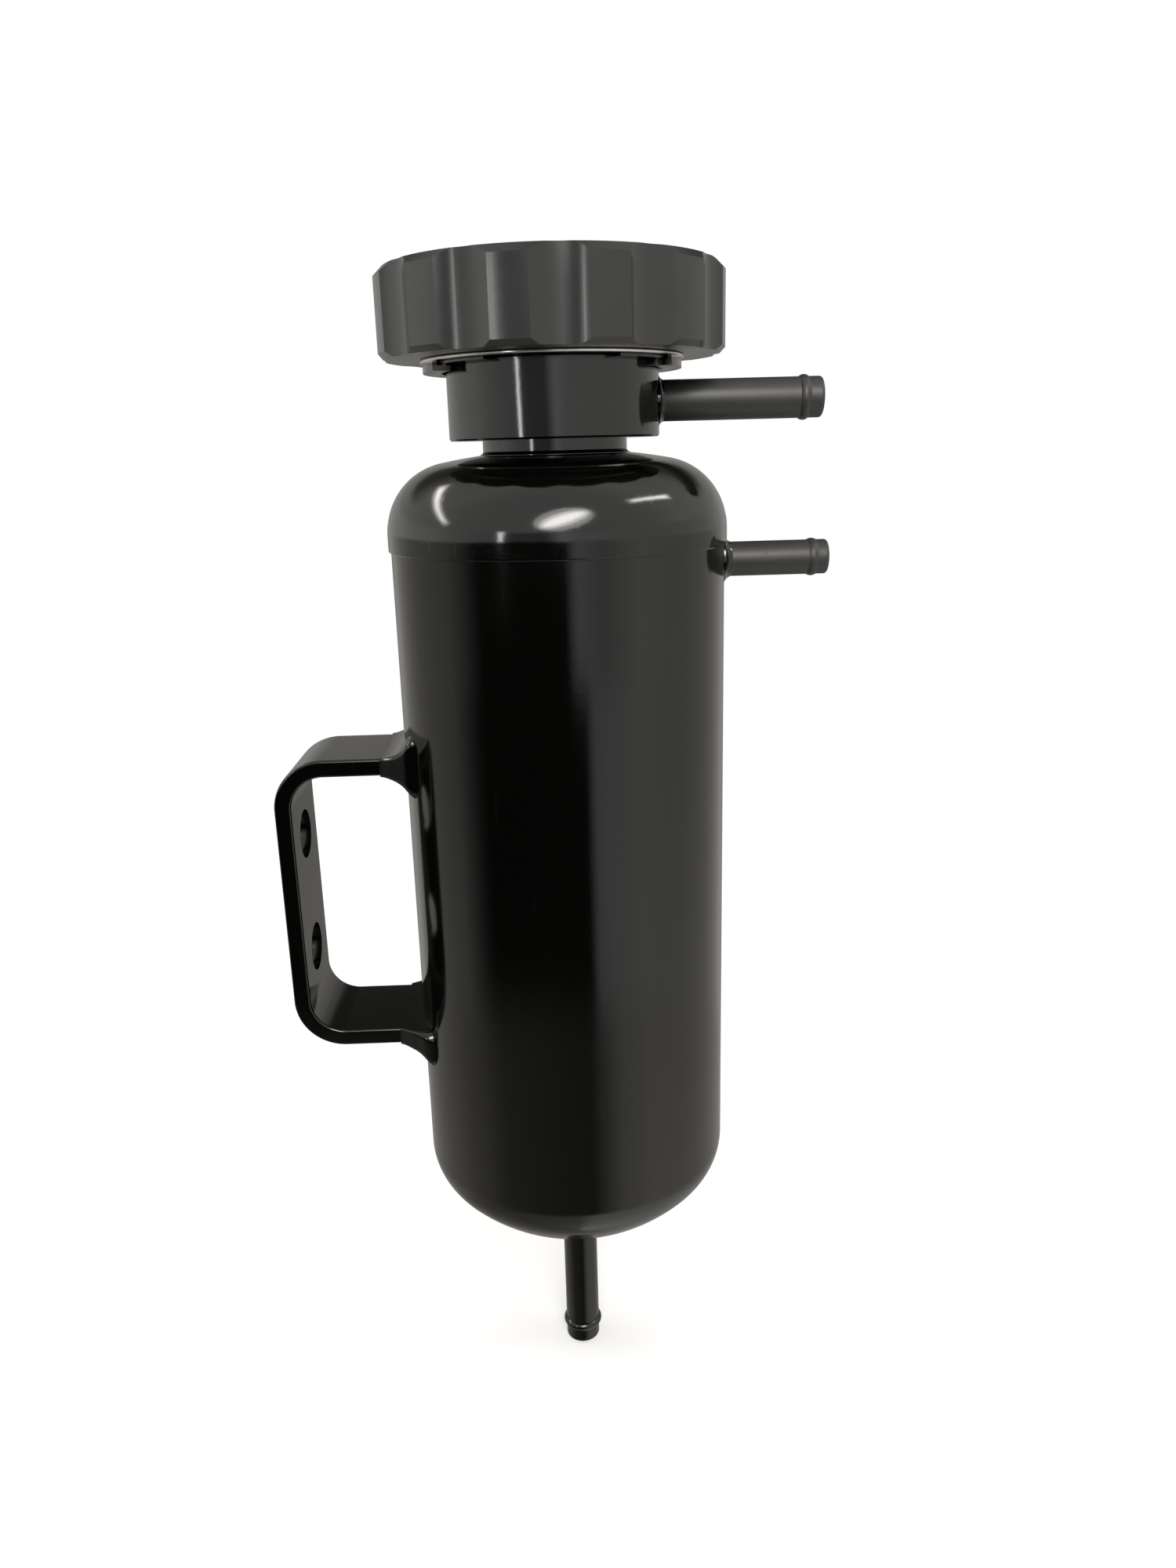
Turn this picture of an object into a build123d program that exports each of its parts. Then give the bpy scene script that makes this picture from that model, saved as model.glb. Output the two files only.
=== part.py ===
from build123d import *
import os
from math import asin, cos, degrees, radians, sin, sqrt

# Coolant expansion tank: a spun canister welded to a strap bracket, with a turned filler neck,
# three beaded hose nipples and a bayonet pressure cap under a scalloped billet grip.
# Millimetres, +Z up. The origin is midway between the bracket's two bolt holes, on the face that
# bolts to the car. The tank's axis stands at +X from there, and its side nipples point to +X.

# Tank shell
tank_d = 76.2
tank_wall = 2.0
shell_len = 155.0
bottom_knuckle_r = 13.5
bottom_crown_r = 46.0
dome_step = 0.5
dome_knuckle_r = 15.7
dome_crown_r = 138.0
seam_z = 86.4

# Girth weld between the tube and the top dome
girth_below = 3.6
girth_above = 2.4
girth_crown = 0.8
girth_toe = 0.15

# Strap bracket
stand_off = 30.2
strap_w = 25.0
strap_t = 4.0
strap_h = 73.0
bend_r = 8.0
strap_edge_r = 0.6
bolt_hole_d = 12.0
bolt_pitch = 30.0

# Fillet welds that hold the bracket, the neck and the nipples
arm_weld_reach = 6.9
arm_weld_leg = 6.0
arm_weld_under = 5.0
arm_weld_side = 4.0
arm_weld_toe = 0.3
weld_rises = (0.0, 0.3, 0.55, 0.75, 0.9)
neck_weld_leg = 0.7
overflow_weld_leg = 1.0
bleed_weld_leg = 1.8
feed_weld_leg = 2.0
weld_sink = 1.5
weld_hollow = 1.6

# Filler neck
neck_stub_d = 32.4
neck_stub_rise = 3.1
neck_stub_insert = 4.0
throat_d = 26.0
collar_d = 47.0
collar_h = 15.7
collar_bore_d = 41.2
collar_edge = 0.4
floor_t = 2.6
seat_w = 2.4
seat_h = 0.6
cam_d = 54.0
cam_t = 2.0
notch_arc = 62.0
notch_lip = 0.3
stop_arc = 4.0
stop_h = 1.3
stop_gap = 1.0

# Hose nipples
nipple_lip = 0.8
bead_w = 2.2
overflow_d = 8.9
overflow_bore_d = 6.4
overflow_bead_d = 9.8
overflow_bead_back = 4.2
overflow_reach = 60.1
overflow_rise = 7.6
bleed_d = 7.9
bleed_bore_d = 5.6
bleed_bead_d = 8.6
bleed_bead_back = 3.7
bleed_reach = 62.3
bleed_drop = 7.7
feed_d = 9.0
feed_bore_d = 6.5
feed_bead_d = 10.4
feed_bead_back = 5.0
feed_len = 42.5
nipple_insert = 2.0

# Billet grip of the cap
cover_d = 76.0
cover_h = 18.2
cover_top_chamfer = 1.7
cover_bottom_chamfer = 1.15
lobes = 12
lobe_turn = 18.0
scallop_r = 12.0
scallop_depth = 2.0
cover_fit = 0.05

# Pressed shell of the cap and what is riveted to it
shell_t = 1.0
shell_skirt_d = 57.0
shell_skirt_drop = 1.4
shell_corner_r = 1.5
hem_proud = 0.5
hem_h = 0.8
hem_r = 0.35
ear_arc = 56.0
ear_t = 1.1
ear_bite = 2.6
ear_gap = 0.3
gasket_t = 0.8
gasket_w = 6.8
gasket_gap = 0.2
diaphragm_t = 0.4
rivet_d = 4.0
rivet_head_d = 8.0
rivet_head_t = 1.2
rivet_fit = 0.1
bell_d = 34.0
bell_t = 0.8
bell_lip = 2.0

# Valve assembly in the cap
valve_t = 0.8
valve_skirt_d = 27.6
valve_skirt_t = 1.0
valve_stroke = 3.0
valve_drop = 1.5
valve_gap = 0.2
valve_fit = 0.4
seal_d = 32.0
seal_t = 2.0
seal_hole_d = 6.8
spring_wire_d = 1.9
spring_d = 22.0
spring_turns = 3.5
vacuum_d = 10.8
vacuum_t = 1.3
vacuum_stem_d = 2.4
vacuum_stem_fit = 0.3
vacuum_head_d = 5.2
vacuum_head_t = 0.8
vacuum_spring_len = 3.6
vacuum_wire_d = 0.5
vacuum_spring_d = 4.0
vacuum_spring_turns = 3.0
vent_d = 1.2
vents = 4

# Levels and places that follow from those sizes
tank_r = tank_d / 2
axis_x = stand_off + tank_r
tank_axis = Axis((axis_x, 0, 0), (0, 0, 1))
shell_bottom_z = seam_z - shell_len
dome_r = tank_r + dome_step


def head_depth(r, knuckle, crown):
    """Depth of a torispherical head from its tangent line to its pole."""
    return crown - sqrt((crown - knuckle) ** 2 - (r - knuckle) ** 2)


bottom_pole_z = shell_bottom_z - head_depth(tank_r, bottom_knuckle_r, bottom_crown_r)
dome_pole_z = seam_z + head_depth(dome_r, dome_knuckle_r, dome_crown_r)
neck_stub_r = neck_stub_d / 2
dome_at_neck_z = dome_pole_z - dome_crown_r + sqrt(dome_crown_r**2 - neck_stub_r**2)
collar_z = dome_at_neck_z + neck_stub_rise
cam_z = collar_z + collar_h
cam_top_z = cam_z + cam_t
seat_z = collar_z + floor_t + seat_h
overflow_z = collar_z + overflow_rise
bleed_z = seam_z - bleed_drop
feed_end_z = bottom_pole_z - feed_len
gasket_z = cam_top_z + gasket_gap
diaphragm_z = gasket_z + gasket_t
plate_z = diaphragm_z + diaphragm_t
plate_top_z = plate_z + shell_t
skirt_bottom_z = cam_top_z - shell_skirt_drop
ear_top_z = cam_z - ear_gap
cover_z = skirt_bottom_z + hem_h
bell_top_z = diaphragm_z
bell_ceiling_z = bell_top_z - bell_t
valve_z = seat_z + seal_t
valve_top_z = valve_z + valve_t
bell_bottom_z = valve_top_z + valve_stroke + valve_gap
valve_flange_z = bell_bottom_z + bell_t + valve_drop


def radial_plane(angle):
    """Upright plane through the tank's axis: local X points outwards at this angle, local Y points up."""
    a = radians(angle)
    return Plane(origin=(axis_x, 0, 0), x_dir=(cos(a), sin(a), 0), z_dir=(sin(a), -cos(a), 0))


tank_plane = radial_plane(0)


def head_line(r, knuckle, crown, tangent_z, side):
    """Section of a torispherical head, from its pole on the axis to its straight side."""
    spread = degrees(asin((r - knuckle) / (crown - knuckle)))
    centre_z = tangent_z - side * sqrt((crown - knuckle) ** 2 - (r - knuckle) ** 2)
    CenterArc((0, centre_z), crown, side * 90, -side * spread)
    CenterArc((r - knuckle, tangent_z), knuckle, 0, side * (90 - spread))


def ring_section(r_in, r_out, z_low, z_high):
    """Rectangular section of a ring about the tank's axis."""
    with Locations(((r_in + r_out) / 2, (z_low + z_high) / 2)):
        Rectangle(r_out - r_in, z_high - z_low)


def nipple_line(start, end, d, bore_d, bead_d, bead_back):
    """Half section of a hose nipple along local X: tube, bead and rounded lip."""
    r, bore_r = d / 2, bore_d / 2
    bead_x = end - bead_back
    Polyline((start, bore_r), (start, r), (bead_x - bead_w / 2, r))
    ThreePointArc((bead_x - bead_w / 2, r), (bead_x, bead_d / 2), (bead_x + bead_w / 2, r))
    Line((bead_x + bead_w / 2, r), (end - nipple_lip, r))
    JernArc((end - nipple_lip, r), (1, 0), nipple_lip, -90)
    Polyline((end, r - nipple_lip), (end, bore_r), (start, bore_r))


def fillet_line(foot, r, leg):
    """Concave section of a fillet weld round a tube that leaves a face at local X = foot."""
    Line((foot - weld_sink, r), (foot + leg, r))
    RadiusArc((foot + leg, r), (foot, r + leg), leg * weld_hollow)
    Polyline((foot, r + leg), (foot - weld_sink, r + leg), (foot - weld_sink, r))


os.makedirs("parts", exist_ok=True)


# Spun can: straight side and domed bottom in one piece
with BuildPart() as tank_body:
    with BuildSketch(tank_plane):
        with BuildLine():
            head_line(tank_r, bottom_knuckle_r, bottom_crown_r, shell_bottom_z, -1)
            Polyline(
                (tank_r, shell_bottom_z),
                (tank_r, seam_z),
                (tank_r - tank_wall, seam_z),
                (tank_r - tank_wall, shell_bottom_z),
            )
            head_line(
                tank_r - tank_wall,
                bottom_knuckle_r - tank_wall,
                bottom_crown_r - tank_wall,
                shell_bottom_z,
                -1,
            )
            Line((0, bottom_pole_z), (0, bottom_pole_z + tank_wall))
        make_face()
    revolve(axis=tank_axis)
    with Locations((axis_x, 0, bottom_pole_z)):
        Cylinder(feed_d / 2, 4 * tank_wall, mode=Mode.SUBTRACT)
    with Locations(Location((axis_x + tank_r, 0, bleed_z), (0, 90, 0))):
        Cylinder(bleed_d / 2, 4 * tank_wall, mode=Mode.SUBTRACT)

# Spun dome that closes the top, with a hole for the neck
with BuildPart() as top_dome:
    with BuildSketch(tank_plane):
        with BuildLine():
            head_line(dome_r, dome_knuckle_r, dome_crown_r, seam_z, 1)
            Line((dome_r, seam_z), (dome_r - tank_wall, seam_z))
            head_line(dome_r - tank_wall, dome_knuckle_r - tank_wall, dome_crown_r - tank_wall, seam_z, 1)
            Line((0, dome_pole_z), (0, dome_pole_z - tank_wall))
        make_face()
    revolve(axis=tank_axis)
    with Locations((axis_x, 0, dome_pole_z)):
        Cylinder(neck_stub_r, 6 * tank_wall, mode=Mode.SUBTRACT)

# Dressed weld bead round the seam
with BuildPart() as girth_weld:
    with BuildSketch(tank_plane):
        with BuildLine():
            low = (tank_r + girth_toe, seam_z - girth_below)
            high = (dome_r - girth_toe / 2, seam_z + girth_above)
            root_r = tank_r - tank_wall / 2
            ThreePointArc(low, (tank_r + girth_crown, seam_z + girth_toe), high)
            Polyline(high, (root_r, seam_z + girth_above), (root_r, seam_z - girth_below), low)
        make_face()
    revolve(axis=tank_axis)
    add(tank_body.part, mode=Mode.SUBTRACT)
    add(top_dome.part, mode=Mode.SUBTRACT)

# Turned neck: stub, collar with the valve seat in its floor, and the bayonet cams on its rim
with BuildPart() as filler_neck:
    stub_end_z = dome_at_neck_z - tank_wall - neck_stub_insert
    with BuildSketch(tank_plane):
        with BuildLine():
            Polyline(
                (throat_d / 2, stub_end_z),
                (neck_stub_r, stub_end_z),
                (neck_stub_r, collar_z),
                (collar_d / 2 - collar_edge, collar_z),
                (collar_d / 2, collar_z + collar_edge),
                (collar_d / 2, cam_z),
                (cam_d / 2, cam_z),
                (cam_d / 2, cam_top_z),
                (collar_bore_d / 2, cam_top_z),
                (collar_bore_d / 2, collar_z + floor_t),
                (throat_d / 2 + seat_w, collar_z + floor_t),
                (throat_d / 2 + seat_w, seat_z),
                (throat_d / 2, seat_z),
                close=True,
            )
        make_face()
    revolve(axis=tank_axis)
    for side in (90, 270):
        with BuildSketch(radial_plane(side - notch_arc / 2)):
            ring_section(collar_d / 2 + notch_lip, cam_d / 2 + cam_t, cam_z - cam_t, cam_top_z + cam_t)
        revolve(axis=tank_axis, revolution_arc=notch_arc, mode=Mode.SUBTRACT)
    for side in (0, 180):
        with BuildSketch(radial_plane(side - ear_arc / 2 - stop_gap - stop_arc)):
            ring_section(collar_d / 2 - notch_lip, cam_d / 2 - notch_lip, cam_z - stop_h, cam_z + cam_t / 2)
        revolve(axis=tank_axis, revolution_arc=stop_arc)
    with Locations(Location((axis_x + collar_d / 2, 0, overflow_z), (0, 90, 0))):
        Cylinder(overflow_d / 2, 2 * (collar_d - collar_bore_d), mode=Mode.SUBTRACT)

# Hose nipples, each turned from bar with a bead behind its lip
overflow_plane = Plane(origin=(axis_x, 0, overflow_z), x_dir=(1, 0, 0), z_dir=(0, -1, 0))
bleed_plane = Plane(origin=(axis_x, 0, bleed_z), x_dir=(1, 0, 0), z_dir=(0, -1, 0))
feed_plane = Plane(origin=(axis_x, 0, bottom_pole_z), x_dir=(0, 0, -1), z_dir=(0, -1, 0))
overflow_axis = Axis(overflow_plane.origin, overflow_plane.x_dir)
bleed_axis = Axis(bleed_plane.origin, bleed_plane.x_dir)
feed_axis = Axis(feed_plane.origin, feed_plane.x_dir)

with BuildPart() as overflow_nipple:
    root = collar_bore_d / 2
    with BuildSketch(overflow_plane):
        with BuildLine():
            nipple_line(
                root, overflow_reach, overflow_d, overflow_bore_d, overflow_bead_d, overflow_bead_back
            )
        make_face()
    revolve(axis=overflow_axis)

with BuildPart() as bleed_nipple:
    root = tank_r - tank_wall - nipple_insert
    with BuildSketch(bleed_plane):
        with BuildLine():
            nipple_line(root, bleed_reach, bleed_d, bleed_bore_d, bleed_bead_d, bleed_bead_back)
        make_face()
    revolve(axis=bleed_axis)

with BuildPart() as feed_spigot:
    root = -tank_wall - nipple_insert
    with BuildSketch(feed_plane):
        with BuildLine():
            nipple_line(root, feed_len, feed_d, feed_bore_d, feed_bead_d, feed_bead_back)
        make_face()
    revolve(axis=feed_axis)

# Strap bent into a C, coped to the tube, with two bolt holes in its back plate
arm_z = strap_h / 2 - strap_t / 2
plate_x = strap_t / 2
with BuildPart() as mounting_bracket:
    with BuildSketch(Plane.XZ):
        with BuildLine():
            FilletPolyline(
                (axis_x - tank_r / 2, arm_z),
                (plate_x, arm_z),
                (plate_x, -arm_z),
                (axis_x - tank_r / 2, -arm_z),
                radius=bend_r + strap_t / 2,
            )
        trace(line_width=strap_t)
    extrude(amount=strap_w / 2, both=True)
    long_edges = mounting_bracket.faces().sort_by(Axis.Y)[0].edges()
    long_edges += mounting_bracket.faces().sort_by(Axis.Y)[-1].edges()
    fillet([e for e in long_edges if e.center().X < axis_x - tank_r / 2 - strap_t], strap_edge_r)
    with Locations((axis_x, 0, 0)):
        Cylinder(tank_r, 2 * strap_h, mode=Mode.SUBTRACT)
    with Locations(*[Location((plate_x, 0, z), (0, 90, 0)) for z in (-bolt_pitch / 2, bolt_pitch / 2)]):
        Cylinder(bolt_hole_d / 2, 2 * strap_t, mode=Mode.SUBTRACT)

# Smooth fillet welds round the ends of the two arms
arm_end_x = axis_x - sqrt(tank_r**2 - (strap_w / 2) ** 2)
weld_steps = [(arm_weld_reach * (1 - rise), rise, 1 - sqrt(1 - rise**2)) for rise in weld_rises]
weld_steps.append((-tank_wall, 1.0, 1.0))


def weld_plane(back, share, arm_centre_z, above, below):
    """Plane across an arm, this far back from its end, centred on the weld's outline there."""
    centre_z = arm_centre_z + share * (above - below) / 2
    return Plane(origin=(arm_end_x - back, 0, centre_z), x_dir=(0, 1, 0), z_dir=(1, 0, 0))


def weld_outline(rise, share, above, below):
    """Rounded outline round an arm: straight flare at the sides, hollow flare above and below."""
    width = strap_w + 2 * (arm_weld_toe + rise * arm_weld_side)
    height = strap_t + 2 * arm_weld_toe + share * (above + below)
    RectangleRounded(width, height, strap_edge_r + share * strap_t / 2)


with BuildPart() as bracket_weld_upper:
    for back, rise, share in weld_steps:
        with BuildSketch(weld_plane(back, share, arm_z, arm_weld_leg, arm_weld_under)):
            weld_outline(rise, share, arm_weld_leg, arm_weld_under)
    loft()
    with Locations((axis_x, 0, 0)):
        Cylinder(tank_r, 2 * strap_h, mode=Mode.SUBTRACT)
    add(mounting_bracket.part, mode=Mode.SUBTRACT)

with BuildPart() as bracket_weld_lower:
    for back, rise, share in weld_steps:
        with BuildSketch(weld_plane(back, share, -arm_z, arm_weld_toe, arm_weld_under)):
            weld_outline(rise, share, arm_weld_toe, arm_weld_under)
    loft()
    with Locations((axis_x, 0, 0)):
        Cylinder(tank_r, 2 * strap_h, mode=Mode.SUBTRACT)
    add(mounting_bracket.part, mode=Mode.SUBTRACT)

# Fillet welds round the neck and the nipples
neck_plane = Plane(origin=(axis_x, 0, dome_at_neck_z), x_dir=(0, 0, 1), z_dir=(0, 1, 0))

with BuildPart() as neck_weld:
    with BuildSketch(neck_plane):
        with BuildLine():
            fillet_line(0, neck_stub_r, neck_weld_leg)
        make_face()
    revolve(axis=tank_axis)
    add(top_dome.part, mode=Mode.SUBTRACT)
    add(filler_neck.part, mode=Mode.SUBTRACT)

with BuildPart() as overflow_weld:
    with BuildSketch(overflow_plane):
        with BuildLine():
            fillet_line(collar_d / 2, overflow_d / 2, overflow_weld_leg)
        make_face()
    revolve(axis=overflow_axis)
    add(filler_neck.part, mode=Mode.SUBTRACT)

with BuildPart() as bleed_weld:
    with BuildSketch(bleed_plane):
        with BuildLine():
            fillet_line(tank_r, bleed_d / 2, bleed_weld_leg)
        make_face()
    revolve(axis=bleed_axis)
    add(tank_body.part, mode=Mode.SUBTRACT)
    add(girth_weld.part, mode=Mode.SUBTRACT)

with BuildPart() as feed_weld:
    with BuildSketch(feed_plane):
        with BuildLine():
            fillet_line(0, feed_d / 2, feed_weld_leg)
        make_face()
    revolve(axis=feed_axis)
    add(tank_body.part, mode=Mode.SUBTRACT)

# Billet grip: chamfered disc with scallops milled down its rim and a recess for the pressed shell
with BuildPart() as cap_cover:
    with Locations((axis_x, 0, cover_z)):
        Cylinder(cover_d / 2, cover_h, align=(Align.CENTER, Align.CENTER, Align.MIN))
    chamfer(cap_cover.edges().sort_by(Axis.Z)[-1], cover_top_chamfer)
    chamfer(cap_cover.edges().sort_by(Axis.Z)[0], cover_bottom_chamfer)
    with BuildSketch(Plane(origin=(axis_x, 0, cover_z))):
        with PolarLocations(cover_d / 2 - scallop_depth + scallop_r, lobes, lobe_turn + 180 / lobes):
            Circle(scallop_r)
    extrude(amount=cover_h, mode=Mode.SUBTRACT)
    with BuildSketch(Plane(origin=(axis_x, 0, cover_z))):
        Circle(shell_skirt_d / 2 + cover_fit)
    extrude(amount=plate_top_z - cover_z, mode=Mode.SUBTRACT)
    with BuildSketch(Plane(origin=(axis_x, 0, plate_top_z))):
        Circle(rivet_head_d / 2 + rivet_fit)
    extrude(amount=rivet_head_t + rivet_fit, mode=Mode.SUBTRACT)

# Pressed shell: plate, skirt with a hem, and two ears that hook under the cams
skirt_r = shell_skirt_d / 2
with BuildPart() as cap_shell:
    with BuildSketch(tank_plane):
        ring_section((rivet_d / 2) + rivet_fit, skirt_r, plate_z, plate_top_z)
        ring_section(skirt_r - shell_t, skirt_r, skirt_bottom_z, plate_top_z)
        ring_section(skirt_r - shell_t, skirt_r + hem_proud, skirt_bottom_z, skirt_bottom_z + hem_h)
        fillet(vertices().sort_by_distance((skirt_r, plate_top_z, 0))[0], shell_corner_r)
        fillet(vertices().group_by(Axis.X)[-1], hem_r)
    revolve(axis=tank_axis)
    for side in (0, 180):
        with BuildSketch(radial_plane(side - ear_arc / 2)):
            ring_section(skirt_r - shell_t, skirt_r, ear_top_z - ear_t, skirt_bottom_z + hem_h / 2)
            ring_section(cam_d / 2 - ear_bite, skirt_r, ear_top_z - ear_t, ear_top_z)
        revolve(axis=tank_axis, revolution_arc=ear_arc)

# Stack under the shell's plate: spring diaphragm, rim gasket, spring bell and the rivet through them
gasket_r = cam_d / 2 - gasket_gap
with BuildPart() as diaphragm:
    with BuildSketch(tank_plane):
        ring_section(rivet_d / 2 + rivet_fit, gasket_r, diaphragm_z, plate_z)
    revolve(axis=tank_axis)

with BuildPart() as cap_gasket:
    with BuildSketch(tank_plane):
        ring_section(gasket_r - gasket_w, gasket_r, gasket_z, diaphragm_z)
    revolve(axis=tank_axis)

bell_r = bell_d / 2
with BuildPart() as spring_bell:
    with BuildSketch(tank_plane):
        ring_section(rivet_d / 2 + rivet_fit, bell_r, bell_ceiling_z, bell_top_z)
        ring_section(bell_r - bell_t, bell_r, bell_bottom_z, bell_top_z)
        ring_section(bell_r - bell_t - bell_lip, bell_r, bell_bottom_z, bell_bottom_z + bell_t)
    revolve(axis=tank_axis)

with BuildPart() as centre_rivet:
    with BuildSketch(tank_plane):
        ring_section(0, rivet_d / 2, bell_ceiling_z - rivet_head_t, plate_top_z + rivet_head_t)
        ring_section(0, rivet_head_d / 2, plate_top_z, plate_top_z + rivet_head_t)
        ring_section(0, rivet_head_d / 2, bell_ceiling_z - rivet_head_t, bell_ceiling_z)
    revolve(axis=tank_axis)

# Pressure valve: a plate whose skirt is caught in the bell's lip, and its rubber seal on the neck's seat
valve_skirt_r = valve_skirt_d / 2
stem_hole_r = vacuum_stem_d / 2 + vacuum_stem_fit
with BuildPart() as pressure_plate:
    with BuildSketch(tank_plane):
        ring_section(stem_hole_r, seal_d / 2, valve_z, valve_top_z)
        ring_section(valve_skirt_r - valve_skirt_t, valve_skirt_r, valve_z, valve_flange_z + valve_t)
        flange_r = bell_r - bell_t - valve_fit
        ring_section(valve_skirt_r - valve_skirt_t, flange_r, valve_flange_z, valve_flange_z + valve_t)
    revolve(axis=tank_axis)
    vent_ring_r = (stem_hole_r + seal_hole_d / 2) / 2
    with BuildSketch(Plane(origin=(axis_x, 0, valve_z))):
        with PolarLocations(vent_ring_r, vents):
            Circle(vent_d / 2)
    extrude(amount=valve_t, mode=Mode.SUBTRACT)

with BuildPart() as pressure_seal:
    with BuildSketch(tank_plane):
        ring_section(seal_hole_d / 2, seal_d / 2, seat_z, valve_z)
    revolve(axis=tank_axis)


with BuildPart() as pressure_spring:
    rise = bell_ceiling_z - valve_top_z - spring_wire_d
    with BuildLine(Plane(origin=(axis_x, 0, valve_top_z + spring_wire_d / 2))):
        coil = Helix(rise / spring_turns, rise, spring_d / 2)
    with BuildSketch(Plane(origin=coil @ 0, z_dir=coil % 0)):
        Circle(spring_wire_d / 2)
    sweep()

# Vacuum valve in the middle of the pressure plate, drawn up against the seal by its own spring
vacuum_head_z = valve_top_z + vacuum_spring_len
with BuildPart() as vacuum_valve:
    with BuildSketch(tank_plane):
        ring_section(0, vacuum_d / 2, seat_z - vacuum_t, seat_z)
        ring_section(0, vacuum_stem_d / 2, seat_z - vacuum_t, vacuum_head_z + vacuum_head_t)
        ring_section(0, vacuum_head_d / 2, vacuum_head_z, vacuum_head_z + vacuum_head_t)
    revolve(axis=tank_axis)

with BuildPart() as vacuum_spring:
    rise = vacuum_spring_len - vacuum_wire_d
    with BuildLine(Plane(origin=(axis_x, 0, valve_top_z + vacuum_wire_d / 2))):
        coil = Helix(rise / vacuum_spring_turns, rise, vacuum_spring_d / 2)
    with BuildSketch(Plane(origin=coil @ 0, z_dir=coil % 0)):
        Circle(vacuum_wire_d / 2)
    sweep()

pieces = {
    "tank_body": tank_body,
    "top_dome": top_dome,
    "girth_weld": girth_weld,
    "filler_neck": filler_neck,
    "neck_weld": neck_weld,
    "overflow_nipple": overflow_nipple,
    "overflow_weld": overflow_weld,
    "bleed_nipple": bleed_nipple,
    "bleed_weld": bleed_weld,
    "feed_spigot": feed_spigot,
    "feed_weld": feed_weld,
    "mounting_bracket": mounting_bracket,
    "bracket_weld_upper": bracket_weld_upper,
    "bracket_weld_lower": bracket_weld_lower,
    "cap_cover": cap_cover,
    "cap_shell": cap_shell,
    "diaphragm": diaphragm,
    "cap_gasket": cap_gasket,
    "spring_bell": spring_bell,
    "centre_rivet": centre_rivet,
    "pressure_plate": pressure_plate,
    "pressure_seal": pressure_seal,
    "pressure_spring": pressure_spring,
    "vacuum_valve": vacuum_valve,
    "vacuum_spring": vacuum_spring,
}
for name, piece in pieces.items():
    piece.part.label = name
    export_step(piece.part, f"parts/{name}.step")
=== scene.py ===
"""Looks of the coolant expansion tank: gloss black coat, satin billet cap grip, pressed steel cap shell."""

from math import asin, cos, degrees, pi, radians, sin, sqrt

import bmesh
import bpy
from mathutils import Matrix, Vector


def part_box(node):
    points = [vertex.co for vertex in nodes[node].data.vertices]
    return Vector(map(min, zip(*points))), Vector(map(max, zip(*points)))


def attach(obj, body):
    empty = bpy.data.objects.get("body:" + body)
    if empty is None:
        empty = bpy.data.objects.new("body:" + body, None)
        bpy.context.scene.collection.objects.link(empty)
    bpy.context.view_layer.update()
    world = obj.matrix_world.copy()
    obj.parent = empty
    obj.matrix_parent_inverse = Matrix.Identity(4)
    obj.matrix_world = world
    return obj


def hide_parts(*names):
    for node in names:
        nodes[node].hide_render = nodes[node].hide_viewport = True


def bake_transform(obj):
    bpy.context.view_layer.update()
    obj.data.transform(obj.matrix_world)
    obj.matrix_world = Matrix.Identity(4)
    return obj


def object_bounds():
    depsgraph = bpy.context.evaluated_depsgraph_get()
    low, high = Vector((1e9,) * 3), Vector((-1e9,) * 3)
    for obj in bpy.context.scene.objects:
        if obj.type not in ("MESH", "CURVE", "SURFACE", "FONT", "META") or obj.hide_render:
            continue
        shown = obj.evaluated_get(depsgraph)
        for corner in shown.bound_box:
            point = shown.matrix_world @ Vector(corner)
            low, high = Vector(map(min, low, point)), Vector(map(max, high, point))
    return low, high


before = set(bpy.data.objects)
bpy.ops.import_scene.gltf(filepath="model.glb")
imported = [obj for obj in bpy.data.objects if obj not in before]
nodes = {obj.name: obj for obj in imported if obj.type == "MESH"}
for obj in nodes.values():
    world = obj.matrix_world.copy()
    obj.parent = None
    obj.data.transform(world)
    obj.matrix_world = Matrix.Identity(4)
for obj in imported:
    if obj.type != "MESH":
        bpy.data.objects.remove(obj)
cad_low, cad_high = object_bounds()

MM = 0.001

# Sizes of the tank, in millimetres, as the solids have them
AXIS_X = 68.3
TANK_R = 38.1
WALL = 2.0
SEAM_Z = 86.4
SHELL_BOTTOM_Z = -68.6
BOTTOM_KNUCKLE, BOTTOM_CROWN = 13.5, 46.0
DOME_R, DOME_KNUCKLE, DOME_CROWN = 38.6, 15.7, 138.0
FEED_R = 4.5
STUB_R = 16.2
BLEED_R, BLEED_Z = 3.95, 78.7
BLEED_DRILL = 16.0
GIRTH_LOW, GIRTH_HIGH, GIRTH_LIP, GIRTH_COAT = 3.6, 2.4, 0.4, 0.05
GIRTH_ROOT_LOW, GIRTH_ROOT_HIGH = 0.4, 0.6
GIRTH_WAVE, GIRTH_PITCH, GIRTH_SEED = 0.12, 9.0, 4.0

# Sizes of the cap's grip
GRIP_R, GRIP_H = 38.0, 18.2
GRIP_TOP_CHAMFER, GRIP_LOW_CHAMFER = 1.7, 1.15
LOBES, LOBE_TURN = 12, 18.0
SCALLOP_R, SCALLOP_DEPTH = 12.0, 2.0
RECESS_R = 28.55
POCKET_R, POCKET_DEPTH = 4.1, 1.3
EDGE_BREAK = 0.22
EAR_TOP_Z = 122.3
TURNING_FEED = 0.5

# Steps round the turned pieces
RING_STEPS, GIRTH_STEPS, GRIP_STEPS = 200, 360, 240

# Edges sharper than this many degrees stay sharp
SHARP_ANGLE, GRIP_SHARP_ANGLE = 32.0, 40.0

# Darkest and lightest speckle of the coat, as shares of its tone
SPECKLE = (0.25, 1.75)

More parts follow.
